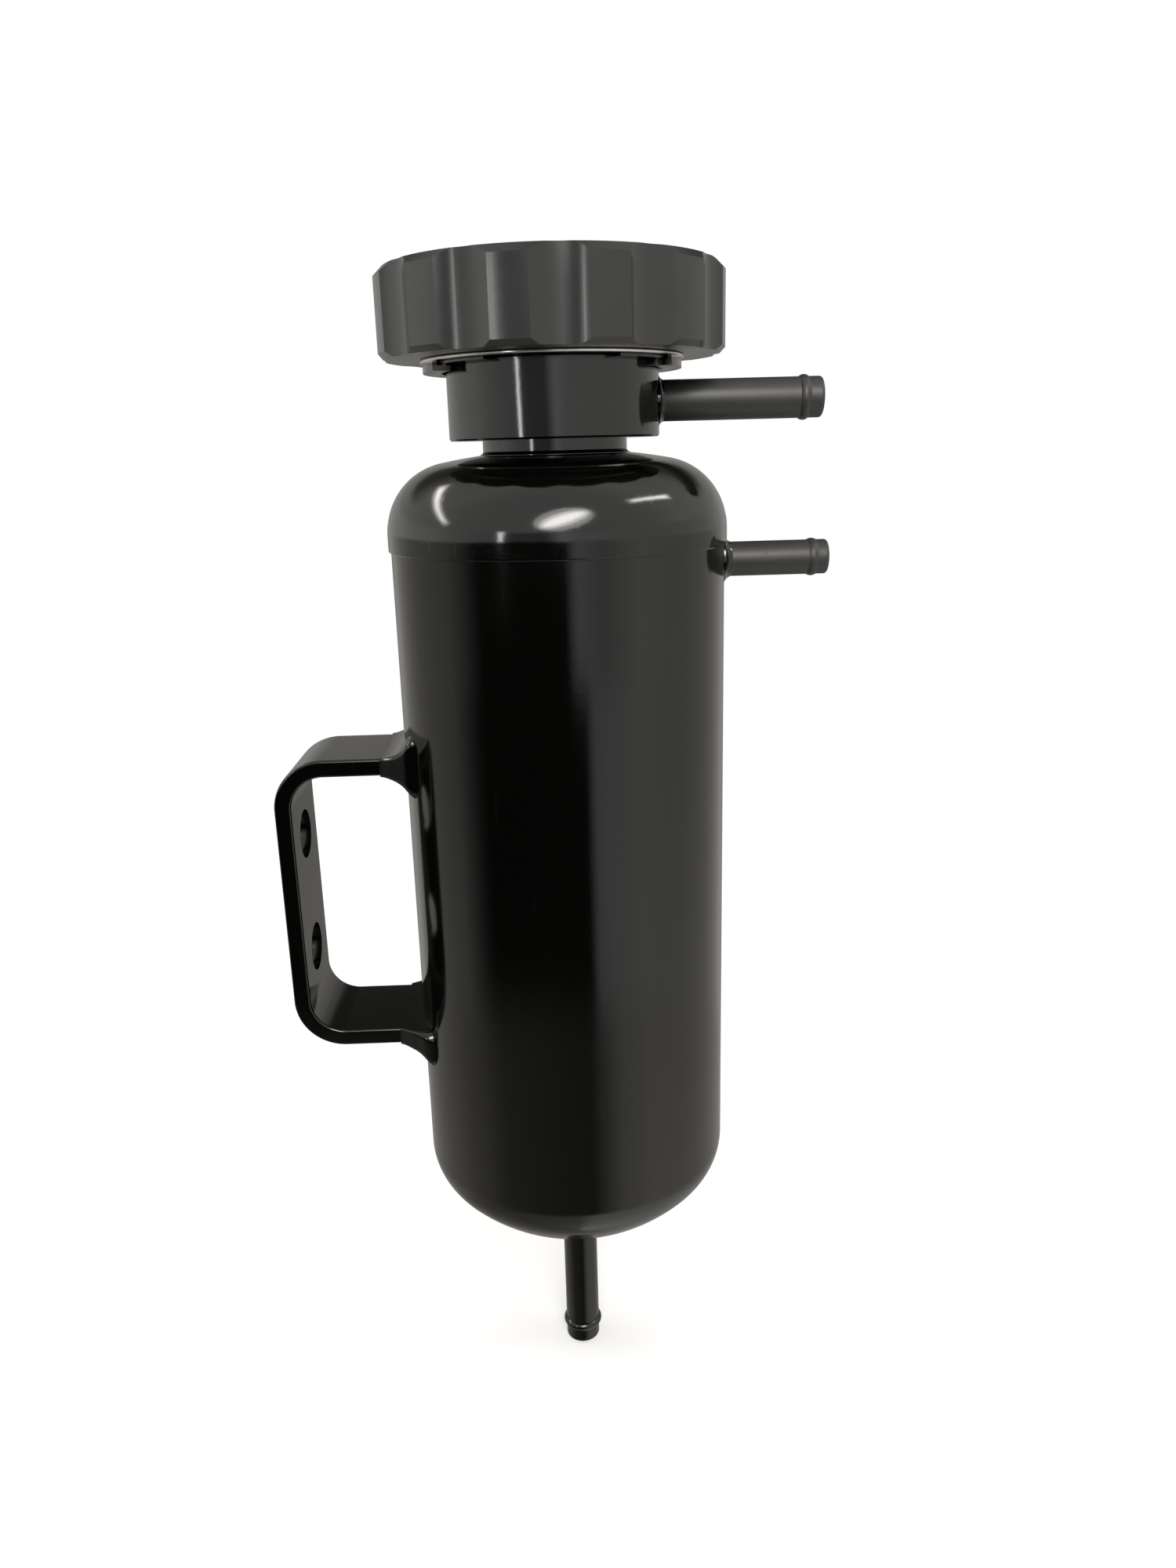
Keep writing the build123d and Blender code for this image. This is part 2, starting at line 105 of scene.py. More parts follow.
# The photograph's camera: place, turn and lens
CAMERA_PLACE = (68.3, -272.7, 104.78)
CAMERA_TURN, CAMERA_DIP, CAMERA_ROLL = 1.14, 16.24, -1.53
FOCAL_PIXELS, IMAGE_HEIGHT, SENSOR = 1481.0, 2000.0, 36.0


# Node helpers


def new_material(name):
    """An empty node material with its output and one Principled shader."""
    material = bpy.data.materials.new(name)
    material.use_nodes = True
    tree = material.node_tree
    shader = tree.nodes["Principled BSDF"]
    return material, tree, shader


def node(tree, kind, **settings):
    """A node of this kind, with its settings."""
    made = tree.nodes.new(kind)
    for key, value in settings.items():
        setattr(made, key, value)
    return made


def math_node(tree, operation, a, b=None):
    """A Math node on sockets or numbers; returns its result."""
    made = node(tree, "ShaderNodeMath", operation=operation)
    for socket, value in zip(made.inputs, (a, b)):
        if value is None:
            continue
        if isinstance(value, (int, float)):
            socket.default_value = value
        else:
            tree.links.new(value, socket)
    return made.outputs[0]


def noise(tree, vector, scale, detail=2.0, roughness=0.5):
    """A noise texture on this vector; returns its factor."""
    made = node(tree, "ShaderNodeTexNoise")
    made.inputs["Scale"].default_value = scale
    made.inputs["Detail"].default_value = detail
    made.inputs["Roughness"].default_value = roughness
    tree.links.new(vector, made.inputs["Vector"])
    return made.outputs["Fac"]


def spread(tree, value, low, high, from_low=0.0, from_high=1.0, smooth=False):
    """Maps a value from one range to another, clamped."""
    made = node(tree, "ShaderNodeMapRange", interpolation_type="SMOOTHSTEP" if smooth else "LINEAR")
    tree.links.new(value, made.inputs["Value"])
    for name, number in (("From Min", from_low), ("From Max", from_high), ("To Min", low), ("To Max", high)):
        made.inputs[name].default_value = number
    return made.outputs["Result"]


def colour_between(tree, factor, first, second):
    """A colour mixed from two by a factor."""
    ramp = node(tree, "ShaderNodeValToRGB")
    ramp.color_ramp.elements[0].color = (*first, 1.0)
    ramp.color_ramp.elements[1].color = (*second, 1.0)
    tree.links.new(factor, ramp.inputs["Fac"])
    return ramp.outputs["Color"]


def object_place(tree, centre=(0.0, 0.0, 0.0), scale=(1.0, 1.0, 1.0)):
    """Object coordinates, moved so that this place (mm) is their origin."""
    place = node(tree, "ShaderNodeTexCoord")
    mapping = node(tree, "ShaderNodeMapping")
    mapping.inputs["Location"].default_value = [-c * MM * s for c, s in zip(centre, scale)]
    mapping.inputs["Scale"].default_value = scale
    tree.links.new(place.outputs["Object"], mapping.inputs["Vector"])
    return mapping.outputs["Vector"]


def bump(tree, shader, height, distance, strength=1.0, below=None):
    """A bump on the shader's normal, on top of another bump if one is given."""
    made = node(tree, "ShaderNodeBump")
    made.inputs["Distance"].default_value = distance
    made.inputs["Strength"].default_value = strength
    tree.links.new(height, made.inputs["Height"])
    if below is not None:
        tree.links.new(below, made.inputs["Normal"])
    tree.links.new(made.outputs["Normal"], shader.inputs["Normal"])
    return made.outputs["Normal"]


# Finishes


def black_coat(name, tone, dullness, peel_depth):
    """Black powder coat with a fine orange peel and faint speckle: deep gloss on the tank, duller on tubes."""
    material, tree, shader = new_material(name)
    place = object_place(tree)
    peel = noise(tree, place, scale=620.0, detail=2.0, roughness=0.45)
    grain = noise(tree, place, scale=2600.0, detail=3.0, roughness=0.6)
    cloud = noise(tree, place, scale=45.0, detail=3.0, roughness=0.5)
    darkest, lightest = ([share * part for part in tone] for share in SPECKLE)
    tree.links.new(colour_between(tree, grain, darkest, lightest), shader.inputs["Base Color"])
    fine = spread(tree, grain, dullness, dullness + 0.05)
    gloss = math_node(tree, "ADD", spread(tree, cloud, 0.0, 0.03, 0.3, 0.7), fine)
    upright = object_place(tree, scale=(700.0, 700.0, 60.0))
    rubbed = noise(tree, upright, scale=1.0, detail=2.0, roughness=0.5)
    gloss = math_node(tree, "ADD", gloss, spread(tree, rubbed, 0.0, 0.10, 0.66, 0.74))
    tree.links.new(gloss, shader.inputs["Roughness"])
    first = bump(tree, shader, peel, distance=peel_depth, strength=0.5)
    bump(tree, shader, grain, distance=0.000004, strength=0.5, below=first)
    return material


def satin_black_anodised():
    """Black anodised billet: satin, with fine cutter marks and a bead-blasted grain."""
    material, tree, shader = new_material("satin_black_anodised")
    place = object_place(tree, (AXIS_X, 0.0, 0.0))
    grain = noise(tree, place, scale=3200.0, detail=3.0, roughness=0.6)
    cloud = noise(tree, place, scale=60.0, detail=2.0, roughness=0.5)
    upright = object_place(tree, (AXIS_X, 0.0, 0.0), (2200.0, 2200.0, 30.0))
    marks = noise(tree, upright, scale=1.0, detail=2.0, roughness=0.6)
    colour = colour_between(tree, cloud, (0.0068, 0.0068, 0.007), (0.012, 0.0119, 0.0116))
    tree.links.new(colour, shader.inputs["Base Color"])
    gloss = math_node(tree, "ADD", spread(tree, cloud, 0.0, 0.04, 0.3, 0.7), spread(tree, grain, 0.14, 0.22))
    tree.links.new(gloss, shader.inputs["Roughness"])
    across = node(tree, "ShaderNodeVectorMath", operation="LENGTH")
    tree.links.new(object_place(tree, (AXIS_X, 0.0, 0.0), (1.0, 1.0, 0.0)), across.inputs[0])
    ring = math_node(tree, "MULTIPLY", across.outputs["Value"], 2 * pi / (TURNING_FEED * MM))
    face = node(tree, "ShaderNodeSeparateXYZ")
    tree.links.new(node(tree, "ShaderNodeNewGeometry").outputs["Normal"], face.inputs["Vector"])
    level = spread(tree, math_node(tree, "ABSOLUTE", face.outputs["Z"]), 0.0, 1.0, 0.97, 0.99)
    turning = math_node(tree, "MULTIPLY", math_node(tree, "SINE", ring), level)
    first = bump(tree, shader, marks, distance=0.00001, strength=0.35)
    second = bump(tree, shader, grain, distance=0.000008, strength=0.6, below=first)
    bump(tree, shader, turning, distance=0.000012, strength=0.6, below=second)
    return material


def pressed_stainless():
    """Pressed stainless steel with a drawn, slightly scuffed surface."""
    material, tree, shader = new_material("pressed_stainless")
    place = object_place(tree, (AXIS_X, 0.0, 0.0))
    scuff = noise(tree, place, scale=420.0, detail=4.0, roughness=0.6)
    level = object_place(tree, (AXIS_X, 0.0, 0.0), (220.0, 220.0, 2600.0))
    drawn = noise(tree, level, scale=1.0, detail=2.0, roughness=0.5)
    height = node(tree, "ShaderNodeSeparateXYZ")
    tree.links.new(place, height.inputs["Vector"])
    # Below the ears' top edge the steel is darkened to a tenth of its tone.
    bright = spread(tree, height.outputs["Z"], 0.10, 1.0, EAR_TOP_Z * MM, (EAR_TOP_Z + 0.4) * MM)
    tone = math_node(tree, "MULTIPLY", spread(tree, scuff, 0.78, 1.0), bright)
    colour = colour_between(tree, tone, (0.0, 0.0, 0.0), (0.68, 0.665, 0.63))
    tree.links.new(colour, shader.inputs["Base Color"])
    shader.inputs["Metallic"].default_value = 1.0
    tree.links.new(spread(tree, scuff, 0.14, 0.26, 0.3, 0.7), shader.inputs["Roughness"])
    bump(tree, shader, drawn, distance=0.00002, strength=0.5)
    return material


def spring_wire():
    """Oil-dark spring wire."""
    material, tree, shader = new_material("spring_wire")
    scale = noise(tree, object_place(tree), scale=900.0, detail=3.0, roughness=0.6)
    colour = colour_between(tree, scale, (0.22, 0.21, 0.20), (0.42, 0.41, 0.39))
    tree.links.new(colour, shader.inputs["Base Color"])
    shader.inputs["Metallic"].default_value = 1.0
    tree.links.new(spread(tree, scale, 0.28, 0.45), shader.inputs["Roughness"])
    return material


def seal_rubber():
    """Matt black moulded rubber."""
    material, tree, shader = new_material("seal_rubber")
    bloom = noise(tree, object_place(tree), scale=700.0, detail=4.0, roughness=0.6)
    colour = colour_between(tree, bloom, (0.012, 0.012, 0.012), (0.03, 0.03, 0.029))
    tree.links.new(colour, shader.inputs["Base Color"])
    tree.links.new(spread(tree, bloom, 0.55, 0.75), shader.inputs["Roughness"])
    bump(tree, shader, bloom, distance=0.00003, strength=0.4)
    return material


def turned_brass():
    """Turned brass of the small valve."""
    material, tree, shader = new_material("turned_brass")
    tarnish = noise(tree, object_place(tree), scale=500.0, detail=3.0, roughness=0.6)
    colour = colour_between(tree, tarnish, (0.50, 0.34, 0.13), (0.72, 0.53, 0.24))
    tree.links.new(colour, shader.inputs["Base Color"])
    shader.inputs["Metallic"].default_value = 1.0
    tree.links.new(spread(tree, tarnish, 0.22, 0.36), shader.inputs["Roughness"])
    return material


coat = black_coat("gloss_black_coat", (0.0009, 0.00085, 0.00075), 0.06, 0.000012)
# The nipples' copy of the coat is duller, which is its own finish, and many times lighter in tone, which is
# painted light.
tube_coat_with_painted_light = black_coat("tube_black_coat_painted_light", (0.013, 0.0126, 0.0118), 0.42, 0.000003)
anodised = satin_black_anodised()
stainless = pressed_stainless()
wire = spring_wire()
rubber = seal_rubber()
brass = turned_brass()

# Mesh helpers


def arc(centre_r, centre_z, radius, start, end, count):
    """Points of an arc in a turned outline, by angles in degrees."""
    angles = [radians(start + (end - start) * i / count) for i in range(count + 1)]
    return [(centre_r + radius * cos(a), centre_z + radius * sin(a)) for a in angles]


def head(r, knuckle, crown, tangent_z, side, hole_r, count=36):
    """Outline of a torispherical head from its straight side to the hole at its pole."""
    lean = degrees(asin((r - knuckle) / (crown - knuckle)))
    centre_z = tangent_z - side * sqrt((crown - knuckle) ** 2 - (r - knuckle) ** 2)
    rim = degrees(asin(hole_r / crown))
    turn = arc(r - knuckle, tangent_z, knuckle, 0, side * (90 - lean), count)
    return turn + arc(0, centre_z, crown, side * (90 - lean), side * (90 - rim), count)[1:]


def straight(start, end, count):
    """Points between two points of a turned outline, both ends left out."""
    steps = [i / count for i in range(1, count)]
    return [(start[0] + (end[0] - start[0]) * t, start[1] + (end[1] - start[1]) * t) for t in steps]


def mesh_piece(name, build, sharp_angle=SHARP_ANGLE):
    """A mesh object from a bmesh-filling function, smooth except at edges sharper than the angle."""
    mesh = bpy.data.meshes.new(name)
    shape = bmesh.new()
    build(shape)
    bmesh.ops.recalc_face_normals(shape, faces=shape.faces)
    shape.to_mesh(mesh)
    shape.free()
    piece = bpy.data.objects.new(name, mesh)
    bpy.context.scene.collection.objects.link(piece)
    soften(mesh, sharp_angle)
    return piece


def soften(mesh, sharp_angle=SHARP_ANGLE):
    """Smooth shading, with the edges past the angle kept sharp."""
    mesh.shade_smooth()
    mesh.set_sharp_from_angle(angle=radians(sharp_angle))


def turned(name, outline, segments=RING_STEPS):
    """A closed shape turned about the tank's axis from an outline of (radius, height) points in mm."""

    def build(shape):
        rings = []
        for i in range(segments):
            a = 2 * pi * i / segments
            places = [(AXIS_X + r * cos(a), r * sin(a), z) for r, z in outline]
            rings.append([shape.verts.new(Vector(place) * MM) for place in places])
        count = len(outline)
        for i in range(segments):
            here, there = rings[i], rings[(i + 1) % segments]
            for j in range(count):
                k = (j + 1) % count
                shape.faces.new((here[j], there[j], there[k], here[k]))
        bmesh.ops.remove_doubles(shape, verts=shape.verts, dist=1e-7)

    return mesh_piece(name, build)


def applied(piece):
    """Puts a piece's modifiers into its mesh."""
    depsgraph = bpy.context.evaluated_depsgraph_get()
    mesh = bpy.data.meshes.new_from_object(piece.evaluated_get(depsgraph))
    piece.modifiers.clear()
    piece.data = mesh
    return piece


def drilled(piece, place, direction, r, depth):
    """Cuts a round hole (mm) into a piece."""

    def build(shape):
        turn = Vector((0, 0, 1)).rotation_difference(Vector(direction)).to_matrix().to_4x4()
        move = Matrix.Translation(Vector(place) * MM) @ turn
        bmesh.ops.create_cone(
            shape, cap_ends=True, segments=64, radius1=r * MM, radius2=r * MM, depth=depth * MM, matrix=move
        )

    drill = mesh_piece("drill", build)
    cut = piece.modifiers.new("drill", "BOOLEAN")
    cut.operation, cut.solver, cut.object = "DIFFERENCE", "EXACT", drill
    applied(piece)
    bpy.data.objects.remove(drill)
    soften(piece.data)
    return piece


def evened(piece, limit=SHARP_ANGLE):
    """Shades each face corner by the faces round it that lie nearly level with it, so that flats look flat."""
    mesh = piece.data
    level = cos(radians(limit))
    sides = [(face.normal.copy(), face.area) for face in mesh.polygons]
    round_vertex = [[] for _ in mesh.vertices]
    for face in mesh.polygons:
        for vertex in face.vertices:
            round_vertex[vertex].append(face.index)
    corners = []
    for face in mesh.polygons:
        own = sides[face.index][0]
        for vertex in face.vertices:
            total = Vector()
            for other in round_vertex[vertex]:
                normal, area = sides[other]
                if normal.dot(own) > level:
                    total += normal * area
            corners.append(total.normalized() if total.length > 0 else own)
    mesh.normals_split_custom_set(corners)
    return piece


def dressed_copy(cad_node, sharp_angle=SHARP_ANGLE):
    """A merged, smooth-shaded copy of a CAD node's own shape."""
    source = nodes[cad_node]

    def build(shape):
        shape.from_mesh(source.data)
        bmesh.ops.remove_doubles(shape, verts=shape.verts, dist=0.5e-6)

    return evened(mesh_piece(cad_node + "_skin", build, sharp_angle))


def finished(piece, body, cad_node, material):
    """Gives a piece its finish and its body, and hides the CAD node that it stands for."""
    piece.data.materials.clear()
    piece.data.materials.append(material)
    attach(piece, body)
    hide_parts(cad_node)
    return piece


# Geometry Nodes helpers


def new_node_tree(name, inputs):
    """A Geometry Nodes tree with a mesh in, a mesh out and these named number inputs."""
    tree = bpy.data.node_groups.new(name, "GeometryNodeTree")
    tree.interface.new_socket("Geometry", in_out="INPUT", socket_type="NodeSocketGeometry")
    tree.interface.new_socket("Geometry", in_out="OUTPUT", socket_type="NodeSocketGeometry")
    for label, kind in inputs:
        tree.interface.new_socket(label, in_out="INPUT", socket_type=kind)
    return tree, node(tree, "NodeGroupInput"), node(tree, "NodeGroupOutput")


def grown(piece, tree, values):
    """Runs a tree on a piece with these input values and keeps the plain mesh."""
    modifier = piece.modifiers.new(tree.name, "NODES")
    modifier.node_group = tree
    for item in tree.interface.items_tree:
        if item.item_type == "SOCKET" and item.in_out == "INPUT" and item.name in values:
            modifier[item.identifier] = values[item.name]
    return applied(piece)


def scallop_tree():
    """Mills a ring of round scallops down the rim of a turned blank."""
    number, whole = "NodeSocketFloat", "NodeSocketInt"
    inputs = [("Lobes", whole), ("Turn", number), ("Cutter Radius", number), ("Cutter Reach", number)]
    inputs += [("Cutter Height", number), ("Middle X", number), ("Middle Z", number)]
    inputs += [("Finish", "NodeSocketMaterial")]
    tree, given, result = new_node_tree("milled_scallops", inputs)
    link = tree.links.new

    ring = node(tree, "GeometryNodeMeshCircle", fill_type="NONE")
    link(given.outputs["Lobes"], ring.inputs["Vertices"])
    link(given.outputs["Cutter Reach"], ring.inputs["Radius"])
    cutter = node(tree, "GeometryNodeMeshCylinder", fill_type="NGON")
    cutter.inputs["Vertices"].default_value = 128
    link(given.outputs["Cutter Radius"], cutter.inputs["Radius"])
    link(given.outputs["Cutter Height"], cutter.inputs["Depth"])
    cutters = node(tree, "GeometryNodeInstanceOnPoints")
    link(ring.outputs["Mesh"], cutters.inputs["Points"])
    link(cutter.outputs["Mesh"], cutters.inputs["Instance"])
    solid_cutters = node(tree, "GeometryNodeRealizeInstances")
    link(cutters.outputs["Instances"], solid_cutters.inputs["Geometry"])

    place = node(tree, "ShaderNodeCombineXYZ")
    link(given.outputs["Middle X"], place.inputs["X"])
    link(given.outputs["Middle Z"], place.inputs["Z"])
    turn = node(tree, "ShaderNodeCombineXYZ")
    link(given.outputs["Turn"], turn.inputs["Z"])
    set_round = node(tree, "GeometryNodeTransform")
    link(solid_cutters.outputs["Geometry"], set_round.inputs["Geometry"])
    link(place.outputs["Vector"], set_round.inputs["Translation"])
    link(turn.outputs["Vector"], set_round.inputs["Rotation"])

    mill = node(tree, "GeometryNodeMeshBoolean", operation="DIFFERENCE", solver="EXACT")
    link(given.outputs["Geometry"], mill.inputs["Mesh 1"])
    link(set_round.outputs["Geometry"], mill.inputs["Mesh 2"])
    whole_grip = node(tree, "GeometryNodeRealizeInstances")
    link(mill.outputs["Mesh"], whole_grip.inputs["Geometry"])
    paint = node(tree, "GeometryNodeSetMaterial")
    link(whole_grip.outputs["Geometry"], paint.inputs["Geometry"])
    link(given.outputs["Finish"], paint.inputs["Material"])
    link(paint.outputs["Geometry"], result.inputs["Geometry"])
    return tree


def uneven_tree():
    """Leaves a dressed weld slightly uneven: its surface waves in and out along its length."""
    number = "NodeSocketFloat"
    inputs = [("Depth", number), ("Wave", number), ("Seed", number), ("Finish", "NodeSocketMaterial")]
    tree, given, result = new_node_tree("uneven_weld", inputs)
    link = tree.links.new
    wave = node(tree, "ShaderNodeTexNoise", noise_dimensions="4D")
    wave.inputs["Detail"].default_value = 1.0
    link(node(tree, "GeometryNodeInputPosition").outputs[0], wave.inputs["Vector"])
    link(given.outputs["Wave"], wave.inputs["Scale"])
    link(given.outputs["Seed"], wave.inputs["W"])
    either_way = math_node(tree, "SUBTRACT", wave.outputs["Fac"], 0.5)
    swing = math_node(tree, "MULTIPLY", either_way, given.outputs["Depth"])
    push = node(tree, "ShaderNodeVectorMath", operation="SCALE")
    link(node(tree, "GeometryNodeInputNormal").outputs[0], push.inputs[0])
    link(swing, push.inputs["Scale"])
    shift = node(tree, "GeometryNodeSetPosition")
    link(given.outputs["Geometry"], shift.inputs["Geometry"])
    link(push.outputs["Vector"], shift.inputs["Offset"])
    bead = node(tree, "GeometryNodeRealizeInstances")
    link(shift.outputs["Geometry"], bead.inputs["Geometry"])
    paint = node(tree, "GeometryNodeSetMaterial")
    link(bead.outputs["Geometry"], paint.inputs["Geometry"])
    link(given.outputs["Finish"], paint.inputs["Material"])
    link(paint.outputs["Geometry"], result.inputs["Geometry"])
    return tree


# Tank: spun can, dome and the dressed weld between them

can_side = straight((TANK_R, SEAM_Z), (TANK_R, SHELL_BOTTOM_Z), 40)
can_bore = straight((TANK_R - WALL, SHELL_BOTTOM_Z), (TANK_R - WALL, SEAM_Z), 12)
can_outline = [(TANK_R, SEAM_Z)] + can_side
can_outline += head(TANK_R, BOTTOM_KNUCKLE, BOTTOM_CROWN, SHELL_BOTTOM_Z, -1, FEED_R)
can_inside = head(TANK_R - WALL, BOTTOM_KNUCKLE - WALL, BOTTOM_CROWN - WALL, SHELL_BOTTOM_Z, -1, FEED_R, 16)
can_outline += can_inside[::-1] + can_bore + [(TANK_R - WALL, SEAM_Z)]
can = drilled(turned("can", can_outline), (AXIS_X + TANK_R, 0, BLEED_Z), (1, 0, 0), BLEED_R, BLEED_DRILL)
finished(can, "tank", "tank_body", coat)

dome_outline = head(DOME_R, DOME_KNUCKLE, DOME_CROWN, SEAM_Z, 1, STUB_R)
dome_inside = head(DOME_R - WALL, DOME_KNUCKLE - WALL, DOME_CROWN - WALL, SEAM_Z, 1, STUB_R, 16)
dome = turned("dome", dome_outline + dome_inside[::-1])
finished(dome, "tank", "top_dome", coat)

girth_outline = [(TANK_R - GIRTH_ROOT_LOW, SEAM_Z - GIRTH_LOW)]
girth_outline += arc(DOME_R - GIRTH_LIP, SEAM_Z - GIRTH_LOW + GIRTH_LIP, GIRTH_LIP, -90, 0, 8)
girth_outline += straight(girth_outline[-1], (DOME_R, SEAM_Z), 10)
girth_end = degrees(asin(GIRTH_HIGH / DOME_KNUCKLE))
girth_outline += arc(DOME_R - DOME_KNUCKLE, SEAM_Z, DOME_KNUCKLE, 0, girth_end, 10)
girth_outline = [girth_outline[0]] + [(r + GIRTH_COAT, z) for r, z in girth_outline[1:]]
girth_outline.append((DOME_R - GIRTH_ROOT_HIGH, SEAM_Z + GIRTH_HIGH))
girth = grown(
    turned("girth_bead", girth_outline, GIRTH_STEPS),
    uneven_tree(),
    {"Depth": GIRTH_WAVE * MM, "Wave": 1 / (GIRTH_PITCH * MM), "Seed": GIRTH_SEED, "Finish": coat},
)
soften(girth.data)
finished(girth, "tank", "girth_weld", coat)

# Cap: scalloped grip milled from a turned blank

grip_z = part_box("cap_cover")[0].z / MM
plate_top_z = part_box("cap_shell")[1].z / MM
grip_outline = [
    (RECESS_R, grip_z),
    (GRIP_R - GRIP_LOW_CHAMFER, grip_z),
    (GRIP_R, grip_z + GRIP_LOW_CHAMFER),
    (GRIP_R, grip_z + GRIP_H - GRIP_TOP_CHAMFER),
    (GRIP_R - GRIP_TOP_CHAMFER, grip_z + GRIP_H),
    (0.0, grip_z + GRIP_H),
    (0.0, plate_top_z + POCKET_DEPTH),
    (POCKET_R, plate_top_z + POCKET_DEPTH),
    (POCKET_R, plate_top_z),
    (RECESS_R, plate_top_z),
]
blank = turned("grip", grip_outline, GRIP_STEPS)
grip = grown(
    blank,
    scallop_tree(),
    {
        "Lobes": LOBES,
        "Turn": radians(LOBE_TURN + 180 / LOBES),
        "Cutter Radius": SCALLOP_R * MM,
        "Cutter Reach": (GRIP_R - SCALLOP_DEPTH + SCALLOP_R) * MM,
        "Cutter Height": 2 * GRIP_H * MM,
        "Middle X": AXIS_X * MM,
        "Middle Z": (grip_z + GRIP_H / 2) * MM,
        "Finish": anodised,
    },
)
edges = grip.modifiers.new("edge_break", "BEVEL")
edges.width, edges.segments = EDGE_BREAK * MM, 2
edges.limit_method, edges.angle_limit = "ANGLE", radians(20)
edges.use_clamp_overlap = True
applied(grip)
soften(grip.data, GRIP_SHARP_ANGLE)
evened(grip)
finished(grip, "cap", "cap_cover", anodised)

# Pieces that keep the solids' own shape

for cad_node in (
    "filler_neck",
    "neck_weld",
    "overflow_nipple",
    "overflow_weld",
    "bleed_nipple",
    "bleed_weld",
    "feed_spigot",
    "feed_weld",
    "mounting_bracket",
    "bracket_weld_upper",
    "bracket_weld_lower",
):
    # The nipples take the lighter copy of the coat, whose lifted tone is painted light.
    finish = tube_coat_with_painted_light if cad_node.endswith("nipple") else coat
    finished(dressed_copy(cad_node), "tank", cad_node, finish)
finished(dressed_copy("cap_shell"), "cap", "cap_shell", stainless)


def coiled(cad_node):
    """A spring between the body it stands on and the body above it, copied from its solid with its transform
    baked in.
    """
    spring = dressed_copy(cad_node)
    spring.data.materials.append(wire)
    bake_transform(spring)
    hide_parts(cad_node)


coiled("pressure_spring")
coiled("vacuum_spring")

for cad_node, material in {
    "diaphragm": stainless,
    "spring_bell": stainless,
    "centre_rivet": stainless,
    "pressure_plate": stainless,
    "cap_gasket": rubber,
    "pressure_seal": rubber,
    "vacuum_valve": brass,
}.items():
    mesh = nodes[cad_node].data
    mesh.materials.clear()
    mesh.materials.append(material)

# Studio: floor, light and the photograph's camera


def direction(azimuth, elevation):
    """Unit vector by azimuth (0 towards the camera, positive to its right) and elevation, in degrees."""
    a, e = radians(azimuth), radians(elevation)
    return Vector((sin(a) * cos(e), -cos(a) * cos(e), sin(e)))


LIT_POINT = Vector((AXIS_X, 0.0, 80.0)) * MM
LAMP_DISTANCE = 1.4
LAMP_COLOUR = (1.0, 0.985, 0.95)
# A soft-edged lamp's layers: share of its brightness, and width and length against its own
SOFT_EDGE = ((0.45, 0.55, 0.85), (0.35, 1.0, 1.0), (0.20, 1.7, 1.12))
LAYER_GAP = 0.004
FLOOR_REACH, FLOOR_GAP = 12.0, 0.0005


def lamp(name, start, end, width, brightness, shape="RECTANGLE", stretch=1.0, set_back=0.0):
    """A flat lamp facing the tank, from one direction (azimuth, elevation) to another, its width in metres."""
    first, last = (direction(*way) * LAMP_DISTANCE for way in (start, end))
    along = (last - first).normalized()
    away = (first + last).normalized()
    across = away.cross(along)
    data = bpy.data.lights.new(name, "AREA")
    data.shape, data.size, data.size_y = shape, (last - first).length * stretch, width
    data.energy = brightness * pi * data.size * width * (pi / 4 if shape == "ELLIPSE" else 1.0)
    data.color = LAMP_COLOUR
    made = bpy.data.objects.new(name, data)
    bpy.context.scene.collection.objects.link(made)
    turn = Matrix((along, across, away)).transposed().to_4x4()
    made.matrix_world = Matrix.Translation(LIT_POINT + (first + last) / 2 + away * set_back) @ turn
    return made


def soft_edged(name, start, end, width, brightness, shape="RECTANGLE"):
    """A lamp that fades at its edge: a bright core inside two wider, weaker lamps."""
    for layer, (share, wider, longer) in enumerate(SOFT_EDGE):
        lamp(f"{name}_{layer}", start, end, width * wider, brightness * share, shape, longer, layer * LAYER_GAP)


soft_edged("front_panel", (-11.0, 18.0), (23.0, 40.0), 0.40, 21.0, "ELLIPSE")
soft_edged("right_tube", (63.0, 45.5), (98.0, 37.5), 0.09, 16.0)
soft_edged("left_tube", (-128.0, 42.0), (-80.0, 18.0), 0.09, 13.0)
soft_edged("narrow_strip", (-36.4, -2.0), (-36.4, 12.0), 0.075, 15.0)
lamp("ceiling", (0.0, 60.0), (180.0, 60.0), 0.9, 2.0).visible_glossy = False


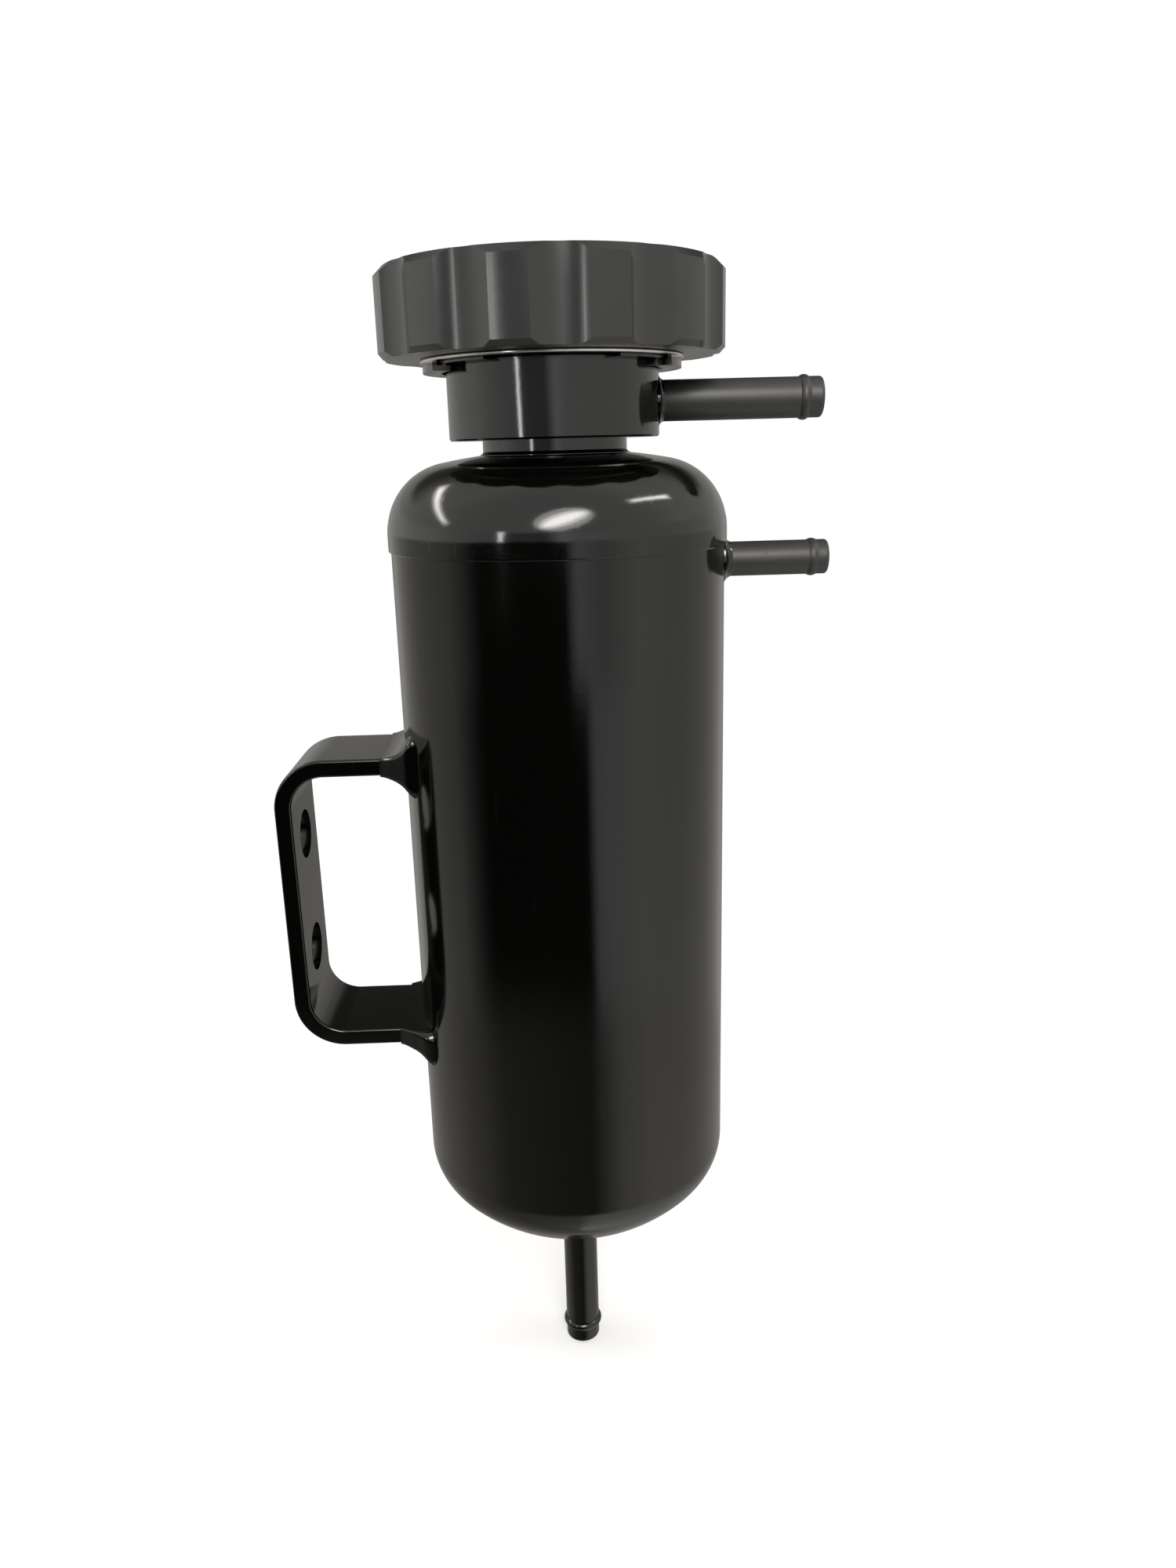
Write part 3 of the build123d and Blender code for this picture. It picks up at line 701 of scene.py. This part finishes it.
def studio_world():
    """White to the camera; in reflections a pale room that is dark near the camera; even fill otherwise."""
    world = bpy.data.worlds.new("studio")
    world.use_nodes = True
    tree = world.node_tree
    tree.nodes.clear()
    link = tree.links.new
    way = node(tree, "ShaderNodeSeparateXYZ")
    link(node(tree, "ShaderNodeTexCoord").outputs["Generated"], way.inputs["Vector"])
    nearer = math_node(tree, "MULTIPLY", way.outputs["Y"], -1.0)
    azimuth = math_node(tree, "ARCTAN2", way.outputs["X"], nearer)
    turn = spread(tree, azimuth, 0.0, 1.0, -pi, pi)
    height = math_node(tree, "ARCSINE", way.outputs["Z"])

    def band(stops):
        """Brightness and warmth round the room, by azimuth in degrees."""
        ramp = node(tree, "ShaderNodeValToRGB")
        elements = ramp.color_ramp.elements
        while len(elements) < len(stops):
            elements.new(0.5)
        for element, (degree, value, warmth) in zip(elements, stops):
            element.position = (degree + 180.0) / 360.0
            element.color = (value, value * (1 - 0.3 * warmth), value * (1 - warmth), 1.0)
        link(turn, ramp.inputs["Fac"])
        return ramp.outputs["Color"]

    upper_wall = band([
        (-180, 0.36, 0.1), (-160, 0.4, 0.1), (-130, 0.7, 0.06), (-90, 1.1, 0.05), (-45, 1.0, 0.03),
        (0, 1.0, 0.03), (45, 1.05, 0.04), (90, 1.2, 0.05), (130, 0.7, 0.06), (160, 0.4, 0.1),
        (180, 0.36, 0.1),
    ])
    middle_wall = band([
        (-180, 0.32, 0.09), (-165, 0.4, 0.09), (-148, 0.62, 0.06), (-90, 1.3, 0.05), (-60, 1.0, 0.03),
        (-38, 0.8, 0.02), (-32, 0.4, -0.04), (-8, 0.35, -0.04), (2, 1.5, 0.0), (14, 1.15, 0.03),
        (75, 1.05, 0.05), (148, 0.62, 0.06), (165, 0.4, 0.09), (180, 0.32, 0.09),
    ])
    lower_wall = band([
        (-180, 0.24, 0.1), (-165, 0.3, 0.1), (-148, 0.62, 0.08), (-115, 0.5, 0.08), (-82, 0.55, 0.08),
        (-70, 0.33, 0.04), (-60, 0.1, 0.02), (-55, 0.0, 0.0), (4, 0.0, 0.0), (8, 0.55, 0.0),
        (12, 0.95, 0.0), (28, 0.65, 0.02), (55, 1.05, 0.06), (90, 0.75, 0.07), (115, 0.6, 0.08),
        (148, 0.62, 0.08), (165, 0.3, 0.1), (180, 0.24, 0.1),
    ])
    wall_foot = band([
        (-180, 0.22, 0.1), (-165, 0.3, 0.1), (-148, 0.62, 0.08), (-115, 0.5, 0.08), (-82, 0.5, 0.08),
        (-72, 0.26, 0.04), (-62, 0.05, 0.02), (-55, 0.0, 0.0), (15, 0.0, 0.0), (21, 0.8, 0.0),
        (30, 0.9, 0.02), (55, 1.0, 0.06), (90, 0.72, 0.07), (115, 0.6, 0.08), (148, 0.62, 0.08),
        (165, 0.3, 0.1), (180, 0.24, 0.1),
    ])
    far_floor = band([
        (-180, 0.35, 0.12), (-100, 0.46, 0.12), (-72, 0.36, 0.12), (-55, 0.2, 0.1), (-10, 0.13, 0.08),
        (12, 0.1, 0.06), (24, 0.4, 0.06), (36, 0.75, 0.08), (60, 0.9, 0.1), (100, 0.62, 0.1),
        (180, 0.35, 0.12),
    ])
    near_floor = band([
        (-180, 0.3, 0.1), (-60, 0.3, 0.1), (0, 0.5, 0.05), (14, 1.0, 0.04), (60, 1.0, 0.04),
        (180, 0.3, 0.1),
    ])

    def mixed(first, second, factor):
        """One band below, another above."""
        made = node(tree, "ShaderNodeMix", data_type="RGBA")
        link(factor, made.inputs["Factor"])
        link(first, made.inputs[6])
        link(second, made.inputs[7])
        return made.outputs[2]

    room = near_floor
    for step, low_end, high_end in (
        (far_floor, -50.0, -42.0),
        (wall_foot, -29.0, -25.0),
        (lower_wall, -12.5, -10.5),
        (middle_wall, -4.0, -1.5),
        (upper_wall, 9.0, 13.0),
    ):
        room = mixed(room, step, spread(tree, height, 0.0, 1.0, radians(low_end), radians(high_end), True))
    behind = spread(tree, way.outputs["Y"], 0.0, 1.0, 0.4, 0.75, True)
    overhead = spread(tree, height, 0.0, 1.0, radians(18), radians(26), True)
    shade = spread(tree, math_node(tree, "MULTIPLY", behind, overhead), 1.0, 0.2)
    dimmed = node(tree, "ShaderNodeVectorMath", operation="SCALE")
    link(room, dimmed.inputs[0])
    link(shade, dimmed.inputs["Scale"])
    room = dimmed.outputs["Vector"]

    rays = node(tree, "ShaderNodeLightPath")
    seen = node(tree, "ShaderNodeBackground")
    seen.inputs["Color"].default_value = (1.0, 1.0, 1.0, 1.0)
    mirrored = node(tree, "ShaderNodeBackground")
    link(room, mirrored.inputs["Color"])
    fill = node(tree, "ShaderNodeBackground")
    fill.inputs["Color"].default_value = (0.62, 0.61, 0.60, 1.0)
    glossy = node(tree, "ShaderNodeMixShader")
    link(rays.outputs["Is Glossy Ray"], glossy.inputs[0])
    link(fill.outputs[0], glossy.inputs[1])
    link(mirrored.outputs[0], glossy.inputs[2])
    pale = node(tree, "ShaderNodeMixShader")
    through = rays.outputs["Is Transmission Ray"]
    straight_on = math_node(tree, "MAXIMUM", rays.outputs["Is Camera Ray"], through)
    link(straight_on, pale.inputs[0])
    link(glossy.outputs[0], pale.inputs[1])
    link(seen.outputs[0], pale.inputs[2])
    link(pale.outputs[0], node(tree, "ShaderNodeOutputWorld").inputs["Surface"])
    world.cycles.sampling_method = "NONE"
    return world


def pale_floor():
    """A white floor under the tank that fades into the white background and keeps the tank's shadow."""
    material, tree, shader = new_material("floor_white")
    place = object_place(tree, (AXIS_X, 0.0, 0.0))
    mottle = noise(tree, place, scale=30.0, detail=2.0, roughness=0.5)
    colour = colour_between(tree, mottle, (0.88, 0.88, 0.88), (0.90, 0.90, 0.90))
    tree.links.new(colour, shader.inputs["Base Color"])
    shader.inputs["Roughness"].default_value = 0.9
    white = node(tree, "ShaderNodeEmission")
    far = node(tree, "ShaderNodeVectorMath", operation="LENGTH")
    tree.links.new(place, far.inputs[0])
    fade = spread(tree, far.outputs["Value"], 0.35, 1.0, 0.15, 0.55, True)
    rays = node(tree, "ShaderNodeLightPath")
    fade = math_node(tree, "MULTIPLY", fade, rays.outputs["Is Camera Ray"])
    mix = node(tree, "ShaderNodeMixShader")
    tree.links.new(fade, mix.inputs[0])
    tree.links.new(shader.outputs[0], mix.inputs[1])
    tree.links.new(white.outputs[0], mix.inputs[2])
    tree.links.new(mix.outputs[0], tree.nodes["Material Output"].inputs["Surface"])

    floor_z = cad_low.z - FLOOR_GAP
    around = ((-1, -1), (1, -1), (1, 1), (-1, 1))

    def build(shape):
        corners = [shape.verts.new((x * FLOOR_REACH, y * FLOOR_REACH, floor_z)) for x, y in around]
        shape.faces.new(corners)

    floor = mesh_piece("floor", build)
    floor.data.materials.append(material)
    floor.visible_glossy = False
    return floor


def photo_camera():
    """The camera of the photograph: close, a little above the tank's middle, looking down."""
    psi, dip, roll = radians(CAMERA_TURN), radians(CAMERA_DIP), radians(CAMERA_ROLL)
    ahead = Vector((sin(psi) * cos(dip), cos(psi) * cos(dip), -sin(dip)))
    right = Vector((cos(psi), -sin(psi), 0.0))
    up = right.cross(ahead)
    right, up = cos(roll) * right + sin(roll) * up, -sin(roll) * right + cos(roll) * up
    data = bpy.data.cameras.new("photo_camera")
    data.sensor_width, data.lens = SENSOR, SENSOR * FOCAL_PIXELS / IMAGE_HEIGHT
    data.clip_start = 0.01
    camera = bpy.data.objects.new("photo_camera", data)
    bpy.context.scene.collection.objects.link(camera)
    turn = Matrix((right, up, -ahead)).transposed().to_4x4()
    camera.matrix_world = Matrix.Translation(Vector(CAMERA_PLACE) * MM) @ turn
    return camera


bpy.context.scene.world = studio_world()
pale_floor()
bpy.context.scene.camera = photo_camera()
bpy.context.scene.view_settings.view_transform = "Standard"
